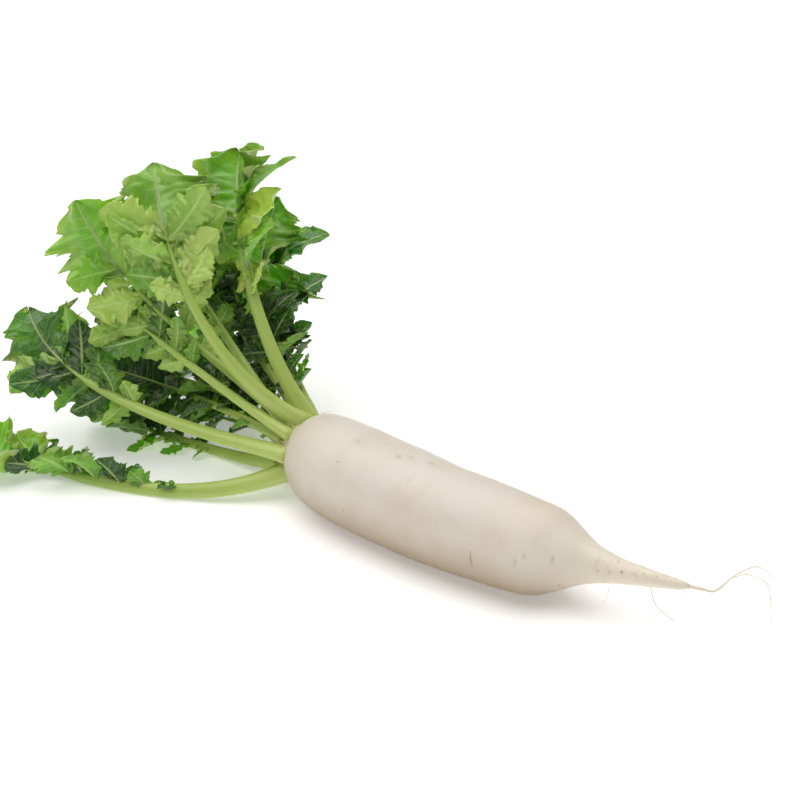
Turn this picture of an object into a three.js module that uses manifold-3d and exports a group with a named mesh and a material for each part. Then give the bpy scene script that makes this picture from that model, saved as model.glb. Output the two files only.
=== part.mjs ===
// A daikon radish with its leaves on, lying on its belly.
// Millimetres, +Z up. The root runs along +X from its crown to its tail, and the leaves
// spread from the crown towards -X. The nodes are the root, the crown and one for each leaf.
// Everything is drawn from the crown's end of the root and then moved so that the origin is
// under the middle of the whole plant, on the surface it lies on.
import * as THREE from "three";
import { mergeVertices } from "three/addons/utils/BufferGeometryUtils.js";
import Module from "manifold-3d";

const wasm = await Module();
wasm.setup();

// Root: a stout cylinder that drops at the shoulder into a thin tail
const ROOT_LENGTH = 288; // crown to the start of the thread
const ROOT_DIAMETER = 68;
const AXIS_HEIGHT = 33.2; // the root's axis over the surface, so its belly is a little flat
const BOW = 60; // how strongly the root curves towards +Y at both ends
const BOW_MIDDLE = 0.35; // where along the root the bow is deepest
const TAIL_SWING = 15; // how much further the tail swings to +Y
const TAIL_DROP = 5; // how far the tail sinks below the axis
const ROOT_SIDES = 26;
const LONG_SWELL = 0.012; // share of the radius by which slow swellings lift the skin
const SHORT_SWELL = 0.01; // the same for the closer ones
// Share of the length, share of the greatest radius
const ROOT_OUTLINE = [
  [0.012, 0.62],
  [0.03, 0.76],
  [0.065, 0.885],
  [0.12, 0.96],
  [0.19, 0.99],
  [0.27, 1.0],
  [0.37, 0.985],
  [0.47, 0.955],
  [0.57, 0.915],
  [0.66, 0.865],
  [0.71, 0.8],
  [0.755, 0.6],
  [0.8, 0.385],
  [0.85, 0.255],
  [0.9, 0.185],
  [0.95, 0.115],
  [1.0, 0.062],
];

// Thread and side rootlets, each from a place on the tail out to its end
const ROOTLET_SIDES = 6;
const ROOTLET_STEPS = 9;
const ROOTLET_TIP = 0.35; // radius at the end
const ROOTLETS = [
  { from: 0.965, radius: 2.3, run: [[0, 0, 0], [14, -5, -3], [34, 8, 6], [52, 24, 11]] },
  { from: 0.985, radius: 1.0, run: [[0, 0, 0], [20, 14, 3], [40, 22, 5], [56, 6, -4]] },
  { from: 0.86, radius: 0.9, run: [[0, 2, 0], [6, 14, 0], [16, 22, -8], [34, 24, -12]] },
  { from: 0.93, radius: 0.8, run: [[0, -1, 0], [4, -10, 1], [12, -15, -6], [24, -14, -12]] },
];

// Crown: the green knob that the stalks grow from
const CROWN_RADIUS = 19;
const CROWN_SEAT = 2.6; // where it meets the root, along X
const CROWN_TOP = -13;
const CROWN_GAP = 0.3;
const CROWN_SIDES = 24;
const CROWN_STEPS = 6;

// Leaves: a stalk with toothed leaflets in pairs and one large lobe at the end
const STALK_SIDES = 6;
const STALK_STEPS = 7;
const BLADE_THICK = 0.95;
const BLADE_CLEAR = 1.1; // a blade's middle stays this far over the surface it lies on
const STALK_CLEAR = 0.6; // a stalk's underside likewise
const STALK_FLAT = 0.78; // a stalk's thickness as a share of its width
const LOBE_FROM = 0.72; // where on the leaf's curve the end lobe starts
const TOOTH = 0.1; // share of a blade's half width
const RIB_TIP = 0.9; // half width of the stalk where it ends in the lobe
const LEAFLET_ROWS = 4;
const LEAFLET_WIDTH = 0.36; // half width as a share of its length
const LEAFLET_FORWARD = 32; // degrees by which it leans towards the leaf's tip
const LEAFLET_RAISE = 14; // degrees by which it stands up from the leaf's face
const LEAFLET_ROLL = 14; // degrees by which its front edge is turned up
const LEAFLET_DROOP = 0.3; // how far its tip sinks, as a share of its length
const LEAFLET_CUP = 0.2; // how far its edges stand up, as a share of its half width
const LOBE_ROWS = 7;
const LOBE_CUP = 0.25;
const LOBE_WAVE = 0.2;
const LEAF_GAP = 0.35; // a blade stays this far from another leaf that crosses it

// Each leaf: its curve as four points, the way its upper face looks at the base and at the
// tip, how many pairs of leaflets, the longest leaflet, the end lobe's half width, the
// stalk's width at the base and where on the curve the first leaflets sit
const LEAVES = [
  { name: "leaf_floor_near", curve: [[-2, -14, 21], [-48, -79, -8], [-142, -94, 8], [-203, -136, 12]],
    face: [[0, 0.7, 0.7], [0, 0.1, 1]], pairs: 6, leaflet: 42, lobe: 32, stalk: 12, first: 0.32 },
  { name: "leaf_side_near", curve: [[-3, -16, 34], [-71, -53, 44], [-159, -85, 58], [-214, -56, 90]],
    face: [[0, 1, 0], [-0.6, 0.67, -0.2]], pairs: 5, leaflet: 40, lobe: 30, stalk: 12, first: 0.45 },
  { name: "leaf_top_near", curve: [[-5, -11, 46], [-53, -28, 71], [-112, -42, 101], [-166, -26, 107]],
    face: [[0, 0.7, -0.7], [-0.6, 0.67, -0.44]], pairs: 4, leaflet: 34, lobe: 28, stalk: 9.5, first: 0.45 },
  { name: "leaf_top", curve: [[-4, 1, 51], [-54, -36, 88], [-96, -36, 158], [-137, 2, 200]],
    face: [[0, 0, -1], [-0.6, 0.67, -0.3]], pairs: 5, leaflet: 46, lobe: 36, stalk: 12, first: 0.5 },
  { name: "leaf_top_far", curve: [[-4, 13, 44], [-40, -4, 99], [-94, 28, 156], [-122, 66, 196]],
    face: [[0, -0.6, -0.75], [0.1, -0.9, 0.3]], pairs: 4, leaflet: 44, lobe: 36, stalk: 11, first: 0.42 },
  { name: "leaf_side_far", curve: [[-4, 16, 33], [-73, 48, 33], [-157, 90, 76], [-142, 122, 143]],
    face: [[0, -1, 0], [0.3, -0.9, 0.2]], pairs: 4, leaflet: 42, lobe: 34, stalk: 11, first: 0.42 },
  { name: "leaf_floor_far", curve: [[-4, 12, 22], [-88, 35, -7], [-187, 90, 10], [-253, 105, 12]],
    face: [[0, -0.8, 0.6], [0, -0.1, 1]], pairs: 4, leaflet: 42, lobe: 34, stalk: 10, first: 0.4 },
  { name: "leaf_floor_back", curve: [[-5, 0, 18], [-66, -4, -1], [-138, -8, 3], [-186, -32, 10]],
    face: [[0, 0, 1], [0, 0, 1]], pairs: 4, leaflet: 34, lobe: 28, stalk: 10, first: 0.42 },
  { name: "leaf_heart", curve: [[-11, 1, 36], [-53, 2, 72], [-137, 22, 112], [-190, 40, 146]],
    face: [[0, 0.4, 1], [0.4, -0.5, 0.6]], pairs: 4, leaflet: 38, lobe: 34, stalk: 9, first: 0.45 },
  { name: "leaf_mid_far", curve: [[-7, 11, 42], [-68, 28, 70], [-127, 50, 95], [-143, 66, 150]],
    face: [[0, -0.8, 0.3], [0.5, -0.6, 0.3]], pairs: 4, leaflet: 40, lobe: 32, stalk: 9, first: 0.25 },
  { name: "leaf_low_mid", curve: [[-7, 5, 27], [-64, -2, 40], [-128, 2, 36], [-172, -22, 46]],
    face: [[0, -0.3, 1], [0.2, -0.4, 0.9]], pairs: 3, leaflet: 32, lobe: 26, stalk: 8, first: 0.25 },
  { name: "leaf_right_far", curve: [[-3, 18, 42], [-39, 35, 55], [-108, 66, 75], [-88, 82, 112]],
    face: [[0, -1, 0.4], [0.4, -0.6, 0.6]], pairs: 4, leaflet: 34, lobe: 26, stalk: 8, first: 0.25 },
  { name: "leaf_top_left", curve: [[-7, -3, 47], [-64, -10, 80], [-141, -31, 109], [-170, -42, 178]],
    face: [[0, 0.3, -1], [-0.6, 0.6, -0.2]], pairs: 4, leaflet: 38, lobe: 32, stalk: 9, first: 0.35 },
];

const COLOURS = {
  root: 0xe9e0cf,
  crown: 0xb4b866,
  leaf: 0x5f8f2e,
};

// A repeatable draw between -1 and 1 for the k-th choice of a leaf
const draw = (seed, k) => {
  const x = Math.sin(seed * 12.9898 + k * 78.233) * 43758.5453;
  return 2 * (x - Math.floor(x)) - 1;
};

const vec = (p) => new THREE.Vector3(...p);
const mix = (a, b, t) => a + (b - a) * t;

// A height along a list of [place, value], as a smooth curve through them
function profileAt(list, t) {
  let i = 1;
  while (i < list.length - 1 && list[i][0] < t) i += 1;
  const [a, b] = [list[i - 1], list[i]];
  const before = list[Math.max(0, i - 2)];
  const after = list[Math.min(list.length - 1, i + 1)];
  const span = b[0] - a[0];
  const u = THREE.MathUtils.clamp((t - a[0]) / span, 0, 1);
  const slopeA = ((b[1] - before[1]) / (b[0] - before[0])) * span;
  const slopeB = ((after[1] - a[1]) / (after[0] - a[0])) * span;
  const u2 = u * u;
  const u3 = u2 * u;
  return (2 * u3 - 3 * u2 + 1) * a[1] + (u3 - 2 * u2 + u) * slopeA
    + (3 * u2 - 2 * u3) * b[1] + (u3 - u2) * slopeB;
}

// A solid from rows of points: each row is a closed ring, and the ends are capped by fans
function ringSolid(rows) {
  const count = rows[0].length;
  const points = rows.flat();
  const faces = [];
  for (let j = 0; j + 1 < rows.length; j += 1) {
    for (let i = 0; i < count; i += 1) {
      const k = (i + 1) % count;
      const [a, b] = [j * count + i, j * count + k];
      const [c, d] = [a + count, b + count];
      faces.push([a, c, b], [b, c, d]);
    }
  }
  const last = (rows.length - 1) * count;
  for (let i = 1; i + 1 < count; i += 1) {
    faces.push([0, i, i + 1], [last, last + i + 1, last + i]);
  }
  return solid(points, faces);
}

// A manifold from points and faces, turned the right way out
function solid(points, faces) {
  const made = new wasm.Manifold(new wasm.Mesh({
    numProp: 3,
    vertProperties: new Float32Array(points.flatMap((p) => p.toArray())),
    triVerts: new Uint32Array(faces.flat()),
  }));
  if (made.volume() > 0) return made;
  return solid(points, faces.map(([a, b, c]) => [a, c, b]));
}

// The root's axis: a shallow bow, with a tail that swings and sinks a little
function rootAxis(t) {
  const tail = Math.max(0, (t - 0.6) / 0.4) ** 2;
  const bow = BOW * ((t - BOW_MIDDLE) ** 2 - BOW_MIDDLE ** 2);
  return new THREE.Vector3(t * ROOT_LENGTH, bow + TAIL_SWING * tail, AXIS_HEIGHT - TAIL_DROP * tail);
}

// The root's radius, with shallow swellings that run round and along it
function rootRadius(t, angle) {
  const swell = 1 + LONG_SWELL * Math.sin(9 * t + 2 * angle) + SHORT_SWELL * Math.sin(23 * t + angle);
  return (ROOT_DIAMETER / 2) * profileAt(ROOT_OUTLINE, t) * swell;
}

function rootSolid() {
  const rows = [];
  for (const [t] of ROOT_OUTLINE) {
    const middle = rootAxis(t);
    const row = [];
    for (let i = 0; i < ROOT_SIDES; i += 1) {
      const angle = (2 * Math.PI * i) / ROOT_SIDES;
      const r = rootRadius(t, angle);
      row.push(new THREE.Vector3(0, r * Math.cos(angle), r * Math.sin(angle)).add(middle));
    }
    rows.push(row);
  }
  const seat = ringSolid(rows);
  return ROOTLETS.reduce((body, r) => body.add(rootletSolid(r)), seat);
}

function rootletSolid({ from, radius, run }) {
  const start = rootAxis(from);
  const curve = new THREE.CatmullRomCurve3(run.map((p) => vec(p).add(start)));
  const rows = [];
  for (let j = 0; j <= ROOTLET_STEPS; j += 1) {
    const t = j / ROOTLET_STEPS;
    const at = curve.getPoint(t);
    const along = curve.getTangent(t);
    const side = new THREE.Vector3(0, 0, 1).cross(along).normalize();
    const up = along.clone().cross(side);
    const r = mix(radius, ROOTLET_TIP, t ** 0.6);
    rows.push(circle(at, side, up, r, r, ROOTLET_SIDES));
  }
  return ringSolid(rows);
}

function circle(at, side, up, a, b, count) {
  const row = [];
  for (let i = 0; i < count; i += 1) {
    const angle = (2 * Math.PI * i) / count;
    row.push(at.clone().addScaledVector(side, a * Math.cos(angle))
      .addScaledVector(up, b * Math.sin(angle)));
  }
  return row;
}

// The crown's outline, grown by a margin where a stalk is cut clear of it
function crownSolid(margin) {
  const rows = [];
  for (let j = 0; j <= CROWN_STEPS; j += 1) {
    const angle = (Math.PI / 2) * (j / CROWN_STEPS);
    const x = mix(CROWN_SEAT + margin, CROWN_TOP - margin, Math.sin(angle) ** 1.2);
    const r = (CROWN_RADIUS + margin) * Math.max(0.12, Math.cos(angle) ** 0.45);
    const at = new THREE.Vector3(x, 0, AXIS_HEIGHT);
    rows.push(circle(at, vec([0, 1, 0]), vec([0, 0, 1]), r, r, CROWN_SIDES));
  }
  return ringSolid(rows);
}

// The frame of a leaf's curve: where it is, the way it runs, its side and its upper face
function leafFrame(leaf, s) {
  const curve = new THREE.CubicBezierCurve3(...leaf.curve.map(vec));
  const at = curve.getPoint(s);
  at.z = Math.max(at.z, STALK_FLAT * stalkWidth(leaf, s) + STALK_CLEAR);
  const along = curve.getTangent(s);
  const face = vec(leaf.face[0]).lerp(vec(leaf.face[1]), s);
  face.addScaledVector(along, -face.dot(along)).normalize();
  return { at, along, face, side: along.clone().cross(face) };
}

// Half width of the stalk, wide and flat where it leaves the crown
function stalkWidth(leaf, s) {
  return mix(leaf.stalk / 2, RIB_TIP, s ** 1.1) * (1 + 0.12 * Math.exp(-s * 14));
}

function stalkSolid(leaf, margin) {
  const rows = [];
  for (let j = 0; j <= STALK_STEPS; j += 1) {
    const s = mix(0, 0.96, j / STALK_STEPS);
    const { at, side, face } = leafFrame(leaf, s);
    const w = stalkWidth(leaf, s);
    rows.push(circle(at, side, face, w + margin, w * STALK_FLAT + margin, STALK_SIDES));
  }
  return ringSolid(rows);
}

// A blade as rows across it; each row is given by its middle, its width and its lift
function bladeSolid(rows, columns, margin) {
  const top = [];
  const under = [];
  const deep = BLADE_THICK / 2 + margin;
  for (const { at, across, normal, half, lift } of rows) {
    for (let i = 0; i < columns; i += 1) {
      const v = (2 * i) / (columns - 1) - 1;
      const p = at.clone().addScaledVector(across, v * (half + margin)).addScaledVector(normal, lift(v));
      p.z = Math.max(p.z, BLADE_CLEAR);
      top.push(p.clone().addScaledVector(normal, deep));
      under.push(p.clone().addScaledVector(normal, -deep));
    }
  }
  const points = top.concat(under);
  const below = top.length;
  const faces = [];
  const cell = (a, b, c, d) => faces.push([a, b, c], [a, c, d]);
  const last = rows.length - 1;
  for (let j = 0; j < last; j += 1) {
    for (let i = 0; i + 1 < columns; i += 1) {
      const a = j * columns + i;
      const [b, c, d] = [a + 1, a + columns + 1, a + columns];
      cell(a, b, c, d);
      faces.push([below + a, below + c, below + b], [below + a, below + d, below + c]);
    }
    const [a, d] = [j * columns, (j + 1) * columns];
    cell(a, d, below + d, below + a);
    const [b, c] = [a + columns - 1, d + columns - 1];
    cell(b, below + b, below + c, c);
  }
  for (let i = 0; i + 1 < columns; i += 1) {
    cell(i, below + i, below + i + 1, i + 1);
    const a = last * columns + i;
    cell(a, a + 1, below + a + 1, below + a);
  }
  return solid(points, faces);
}

// A blade's half width along it: a narrow foot, widest past the middle, and a blunt end
function bladeOutline(t) {
  return Math.max(0.1, Math.sin(Math.PI * t ** 1.15) ** 0.7, 0.45 * Math.sign(t - 0.9));
}

function leafletSolid(leaf, seed, k, s, hand, size, margin) {
  const { at, along, face, side } = leafFrame(leaf, s);
  const wild = (n) => draw(seed, 10 * k + n);
  const forward = THREE.MathUtils.degToRad(LEAFLET_FORWARD + 10 * wild(1));
  const raise = THREE.MathUtils.degToRad(LEAFLET_RAISE + 16 * wild(2));
  const roll = THREE.MathUtils.degToRad(LEAFLET_ROLL + 10 * wild(5));
  const out = side.clone().multiplyScalar(hand * Math.cos(raise)).addScaledVector(face, Math.sin(raise));
  const run = out.multiplyScalar(Math.cos(forward)).addScaledVector(along, Math.sin(forward)).normalize();
  const across = along.clone().addScaledVector(run, -along.dot(run)).normalize();
  const normal = run.clone().cross(across).multiplyScalar(-hand).normalize();
  if (normal.dot(face) < 0) normal.negate();
  across.applyAxisAngle(run, -hand * roll);
  normal.applyAxisAngle(run, -hand * roll);
  const droop = LEAFLET_DROOP + 0.25 * wild(3);
  const cup = LEAFLET_CUP + 0.25 * wild(4);
  const rows = [];
  for (let j = 0; j < LEAFLET_ROWS; j += 1) {
    const t = j / (LEAFLET_ROWS - 1);
    const tooth = 1 + TOOTH * (j % 2 ? 1 : -1);
    const half = LEAFLET_WIDTH * size * bladeOutline(t) * tooth;
    const middle = at.clone().addScaledVector(run, size * t).addScaledVector(along, 0.12 * size * t * t)
      .addScaledVector(normal, -droop * size * t * t);
    rows.push({ at: middle, across, normal, half, lift: (v) => cup * half * v * v });
  }
  return bladeSolid(rows, 3, margin);
}

function lobeSolid(leaf, seed, margin) {
  const rows = [];
  for (let j = 0; j < LOBE_ROWS; j += 1) {
    const t = j / (LOBE_ROWS - 1);
    const { at, face, side } = leafFrame(leaf, mix(LOBE_FROM, 1, t));
    const tooth = 1 + TOOTH * (j % 2 ? 1 : -1);
    const half = leaf.lobe * bladeOutline(t ** 0.8) * tooth;
    const wave = LOBE_WAVE * Math.sin(7 * t + 3 * draw(seed, 5));
    rows.push({ at, across: side, normal: face, half,
      lift: (v) => LOBE_CUP * half * v * v + wave * half * v * Math.abs(v) });
  }
  return bladeSolid(rows, 5, margin);
}

// One leaf's stalk and its blades, thickened by a margin where other leaves are cut clear of it
function leafParts(leaf, seed, margin) {
  let blades = lobeSolid(leaf, seed, margin);
  const count = leaf.pairs * 2;
  for (let k = 0; k < count; k += 1) {
    const share = k / (count - 1);
    const s = mix(leaf.first, LOBE_FROM + 0.03, share);
    const size = leaf.leaflet * mix(0.42, 1, share ** 0.7) * (1 + 0.12 * draw(seed, 200 + k));
    blades = blades.add(leafletSolid(leaf, seed, k, s, k % 2 ? 1 : -1, size, margin));
  }
  return { stalk: stalkSolid(leaf, margin), blades };
}

// A leaf's blades give way to every other stalk and to the leaves listed before it. Where such
// a cut frees a scrap of blade, only the leaf itself stays.
function clearedLeaf(index, whole, grown) {
  let { stalk, blades } = whole[index];
  grown.forEach((other, j) => {
    if (j === index) return;
    blades = blades.subtract(other.stalk);
    if (j > index) return;
    blades = blades.subtract(other.blades);
    stalk = stalk.subtract(other.stalk);
  });
  const bodies = stalk.add(blades).subtract(keepOut).decompose();
  return bodies.sort((a, b) => b.volume() - a.volume())[0];
}

// A three.js geometry from a manifold
function geometryOf(made) {
  const { numProp, vertProperties, triVerts } = made.getMesh();
  const places = new Float32Array((vertProperties.length / numProp) * 3);
  for (let i = 0; i < places.length / 3; i += 1) {
    places.set(vertProperties.subarray(i * numProp, i * numProp + 3), i * 3);
  }
  const geometry = new THREE.BufferGeometry();
  geometry.setAttribute("position", new THREE.BufferAttribute(places, 3));
  geometry.setIndex(new THREE.BufferAttribute(new Uint32Array(triVerts), 1));
  return geometry;
}

function addNode(group, name, made, colour, roughness) {
  const material = new THREE.MeshStandardMaterial({ color: colour, roughness, metalness: 0 });
  const mesh = new THREE.Mesh(geometryOf(made), material);
  mesh.name = name;
  group.add(mesh);
}

// Everything below the surface, to cut the root's belly flat
function groundSolid() {
  const box = new THREE.BoxGeometry(900, 400, 60).translate(150, 0, -30);
  box.deleteAttribute("normal");
  box.deleteAttribute("uv");
  const merged = mergeVertices(box);
  return new wasm.Manifold(new wasm.Mesh({
    numProp: 3,
    vertProperties: merged.attributes.position.array,
    triVerts: new Uint32Array(merged.index.array),
  }));
}

const plant = new THREE.Group();
const crown = crownSolid(0);
const keepOut = crownSolid(CROWN_GAP);
addNode(plant, "root", rootSolid().subtract(groundSolid()).subtract(keepOut), COLOURS.root, 0.42);
addNode(plant, "crown", crown, COLOURS.crown, 0.6);
const whole = LEAVES.map((leaf, i) => leafParts(leaf, i + 1, 0));
const grown = LEAVES.map((leaf, i) => leafParts(leaf, i + 1, LEAF_GAP));
LEAVES.forEach((leaf, i) => {
  addNode(plant, leaf.name, clearedLeaf(i, whole, grown), COLOURS.leaf, 0.55);
});

const bounds = new THREE.Box3().setFromObject(plant);
plant.position.set(-(bounds.min.x + bounds.max.x) / 2, -(bounds.min.y + bounds.max.y) / 2, -bounds.min.z);

const daikon = new THREE.Group();
daikon.add(plant);
export default daikon;
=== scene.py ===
import math
import bpy
import numpy as np
from mathutils import Matrix, Vector


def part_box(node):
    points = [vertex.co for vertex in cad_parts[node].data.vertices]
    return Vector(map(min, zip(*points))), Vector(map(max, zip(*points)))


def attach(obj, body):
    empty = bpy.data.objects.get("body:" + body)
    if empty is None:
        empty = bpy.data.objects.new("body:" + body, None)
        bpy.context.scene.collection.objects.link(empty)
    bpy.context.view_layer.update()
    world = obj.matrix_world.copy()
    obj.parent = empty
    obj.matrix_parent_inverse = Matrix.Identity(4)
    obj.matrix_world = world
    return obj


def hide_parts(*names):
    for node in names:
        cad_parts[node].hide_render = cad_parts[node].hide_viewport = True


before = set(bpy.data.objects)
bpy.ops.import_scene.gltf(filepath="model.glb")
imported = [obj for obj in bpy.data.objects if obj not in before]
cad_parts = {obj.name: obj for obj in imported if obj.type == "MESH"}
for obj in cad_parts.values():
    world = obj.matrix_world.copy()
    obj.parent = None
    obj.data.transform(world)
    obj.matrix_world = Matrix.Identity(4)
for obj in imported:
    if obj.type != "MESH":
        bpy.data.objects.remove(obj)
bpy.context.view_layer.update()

# Lengths are in millimetres from the crown's end of the root, as in the part's source.
# place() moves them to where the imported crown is, in metres.
crown = {
    "radius": 19.0, "seat": 2.6, "top": -13.0, "rings": 60, "sides": 132,
    "ribs": 9, "ribDepth": 0.05, "tint": (151, 160, 84), "paleTint": (196, 199, 128), "rimTint": (214, 206, 170),
    "dryTint": (171, 138, 74), "stubs": (155, 203, 112, 64, 20, 246, 320), "stubLength": 11.0, "stubWidth": 6.4,
    "stubFrom": 14.5, "fibresFrom": -9.0, "fibresTo": 1.5,
    "fibres": {"Density": 60000.0, "Spacing": 0.006, "Length": 0.01, "Thickness": 0.0004, "Curl": 1.1, "Seed": 5},
}
crownLow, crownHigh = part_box("crown")
shift = np.array([crownHigh.x * 1000 - crown["seat"], (crownLow.y + crownHigh.y) * 500, 0.0])


def place(points):
    return (np.asarray(points, float) + shift) * 0.001


def placeX(x):
    return place((x, 0, 0))[0]


def unit(v):
    v = np.asarray(v, float)
    return v / np.linalg.norm(v)


def mixed(a, b, t):
    return a + (b - a) * t


def draw(seed, k):  # a repeatable draw between -1 and 1, the same one as in the part's source
    x = math.sin(seed * 12.9898 + k * 78.233) * 43758.5453
    return 2 * (x - math.floor(x)) - 1


def turned(v, axis, angle):
    axis = unit(axis)
    return v * math.cos(angle) + np.cross(axis, v) * math.sin(angle) + axis * axis.dot(v) * (1 - math.cos(angle))


def alongList(rows, t):  # a smooth curve through [place, value] rows
    i = 1
    while i < len(rows) - 1 and rows[i][0] < t:
        i += 1
    a, b = rows[i - 1], rows[i]
    before, after = rows[max(0, i - 2)], rows[min(len(rows) - 1, i + 1)]
    span = b[0] - a[0]
    u = min(1.0, max(0.0, (t - a[0]) / span))
    slopeA = (b[1] - before[1]) / (b[0] - before[0]) * span
    slopeB = (after[1] - a[1]) / (after[0] - a[0]) * span
    return ((2 * u**3 - 3 * u**2 + 1) * a[1] + (u**3 - 2 * u**2 + u) * slopeA
            + (3 * u**2 - 2 * u**3) * b[1] + (u**3 - u**2) * slopeB)


def smoothNoise(u, v, seed, wrap=None):  # value noise; v repeats after wrap cells
    grid = np.random.default_rng(seed).uniform(-1, 1, (512, wrap or 512))
    i, j = np.floor(u).astype(int), np.floor(v).astype(int)
    fu, fv = u - i, v - j
    fu, fv = fu * fu * (3 - 2 * fu), fv * fv * (3 - 2 * fv)
    rows, columns = grid.shape
    at = lambda a, b: grid[a % rows, b % columns]
    low = at(i, j) * (1 - fu) + at(i + 1, j) * fu
    high = at(i, j + 1) * (1 - fu) + at(i + 1, j + 1) * fu
    return low * (1 - fv) + high * fv


def addObject(name, data):
    made = bpy.data.objects.new(name, data)
    bpy.context.scene.collection.objects.link(made)
    return made


def carry(mesh, key, values, kind="FLOAT", field="value"):  # a value for each point
    mesh.attributes.new(key, kind, "POINT").data.foreach_set(field, np.asarray(values, np.float32).ravel())


def makeMesh(name, points, faces, material, attributes=None):
    mesh = bpy.data.meshes.new(name)
    mesh.from_pydata(np.asarray(points).tolist(), [], faces)
    mesh.update()
    for key, values in (attributes or {}).items():
        carry(mesh, key, values)
    mesh.polygons.foreach_set("use_smooth", [True] * len(mesh.polygons))
    mesh.materials.append(material)
    return addObject(name, mesh)


def turnedOut(points, faces):  # turns a closed piece's faces outwards
    p = np.asarray(points)
    volume = 0.0
    for f in faces:
        for k in range(1, len(f) - 1):
            volume += p[f[0]].dot(np.cross(p[f[k]], p[f[k + 1]]))
    return faces if volume > 0 else [tuple(reversed(f)) for f in faces]


def closedRings(rings, tip=0.0):  # a skin over rings of points, closed at both ends
    sides, last = len(rings[0]), (len(rings) - 1) * len(rings[0])
    flat = np.concatenate(rings)
    flat = np.concatenate([flat, [flat[:sides].mean(0), flat[last:].mean(0) + (tip, 0, 0)]])
    faces = []
    for first in range(0, last, sides):
        for i in range(sides):
            a, b = first + i, first + (i + 1) % sides
            faces.append((a, b, b + sides, a + sides))
    for i in range(sides):
        k = (i + 1) % sides
        faces.append((len(flat) - 2, k, i))
        faces.append((len(flat) - 1, last + i, last + k))
    return flat, turnedOut(flat, faces)


def tone(red, green, blue):  # a screen colour as Blender wants it
    def one(c):
        c = c / 255
        return c / 12.92 if c <= 0.04045 else ((c + 0.055) / 1.055) ** 2.4
    return (one(red), one(green), one(blue), 1.0)


def feed(tree, node, inputs):  # links what comes from another node, sets what is a plain value
    for key, value in inputs.items():
        if isinstance(value, bpy.types.NodeSocket):
            tree.links.new(value, node.inputs[key])
        else:
            node.inputs[key].default_value = value


def addNode(tree, kind, inputs, **settings):
    made = tree.nodes.new(kind)
    for key, value in settings.items():
        setattr(made, key, value)
    feed(tree, made, inputs)
    return made


def maths(tree, operation, a, b=0.0):
    return addNode(tree, "ShaderNodeMath", {0: a, 1: b}, operation=operation).outputs[0]


def times(tree, a, b):
    return maths(tree, "MULTIPLY", a, b)


def ranged(tree, value, low, high, toLow=0.0, toHigh=1.0):
    return addNode(tree, "ShaderNodeMapRange", {
        "Value": value, "From Min": low, "From Max": high, "To Min": toLow, "To Max": toHigh},
        interpolation_type="SMOOTHSTEP").outputs["Result"]


def blended(tree, amount, a, b):
    return addNode(tree, "ShaderNodeMix", {0: amount, 6: a, 7: b}, data_type="RGBA").outputs[2]


def noise(tree, where, scale, detail=3.0, roughness=0.5, distortion=0.0):
    return addNode(tree, "ShaderNodeTexNoise", {
        "Vector": where, "Scale": scale, "Detail": detail, "Roughness": roughness,
        "Distortion": distortion}).outputs["Fac"]


def attribute(tree, name):
    return addNode(tree, "ShaderNodeAttribute", {}, attribute_name=name).outputs["Fac"]


def newMaterial(name):
    material = bpy.data.materials.new(name)
    material.use_nodes = True
    tree = material.node_tree
    shader = tree.nodes["Principled BSDF"]
    where = tree.nodes.new("ShaderNodeTexCoord").outputs["Object"]
    return material, tree, shader, where


def bump(tree, height, strength, distance):
    inputs = {"Height": height, "Strength": strength, "Distance": distance}
    return addNode(tree, "ShaderNodeBump", inputs).outputs["Normal"]


view = {
    "azimuth": 42.0, "elevation": 26.0, "from": (795.5, -787.8, 613.8), "lens": 85.0,
    "sensor": 36.0, "farClip": 20.0, "floorTone": (252, 252, 251), "floorCloud": (250, 250, 250), "floorHalf": 6.0,
    "floorDrop": 0.0003, "floorGlow": 0.31,  # a lit white table, which softens the shadow
    "sunFrom": (-0.2, -0.06, 1.2), "sunPower": 2.55, "sunAngle": 76.0, "sunTint": (1.0, 0.985, 0.965), "sky": 0.16,
}


def setView():
    a, e = math.radians(view["azimuth"]), math.radians(view["elevation"])
    back = Vector((math.sin(a) * math.cos(e), -math.cos(a) * math.cos(e), math.sin(e)))
    right = Vector((math.cos(a), math.sin(a), 0))
    up = back.cross(right)
    lens = bpy.data.cameras.new("camera")
    lens.lens, lens.sensor_width, lens.clip_end = view["lens"], view["sensor"], view["farClip"]
    camera = bpy.data.objects.new("camera", lens)
    camera.matrix_world = Matrix((
        (right.x, up.x, back.x, 0), (right.y, up.y, back.y, 0), (right.z, up.z, back.z, 0), (0, 0, 0, 1)))
    camera.location = Vector(place(view["from"]))
    bpy.context.scene.collection.objects.link(camera)
    bpy.context.scene.camera = camera


def setLight():
    light = bpy.data.lights.new("softKey", "SUN")
    light.energy, light.angle, light.color = view["sunPower"], math.radians(view["sunAngle"]), view["sunTint"]
    addObject("softKey", light).rotation_euler = Vector(view["sunFrom"]).to_track_quat("Z", "Y").to_euler()
    world = bpy.data.worlds.new("studio")
    world.use_nodes = True
    world.node_tree.nodes["Background"].inputs["Color"].default_value = (1, 1, 1, 1)
    world.node_tree.nodes["Background"].inputs["Strength"].default_value = view["sky"]
    bpy.context.scene.world = world
    bpy.context.scene.view_settings.view_transform = "Standard"


def setFloor():
    material, tree, shader, where = newMaterial("paleFloor")
    cloud = ranged(tree, noise(tree, where, 3.0), 0.3, 0.7)
    feed(tree, shader, {
        "Base Color": blended(tree, cloud, tone(*view["floorTone"]), tone(*view["floorCloud"])),
        "Roughness": 0.9, "Emission Color": (1, 1, 1, 1), "Emission Strength": view["floorGlow"]})
    far = view["floorHalf"]
    corners = [(-far, -far, 0), (far, -far, 0), (far, far, 0), (-far, far, 0)]
    floor = makeMesh("floor", corners, [(0, 1, 2, 3)], material)
    floor.location.z = -view["floorDrop"]


setView()
setLight()
setFloor()
print("camera, floor and light set")


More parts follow.
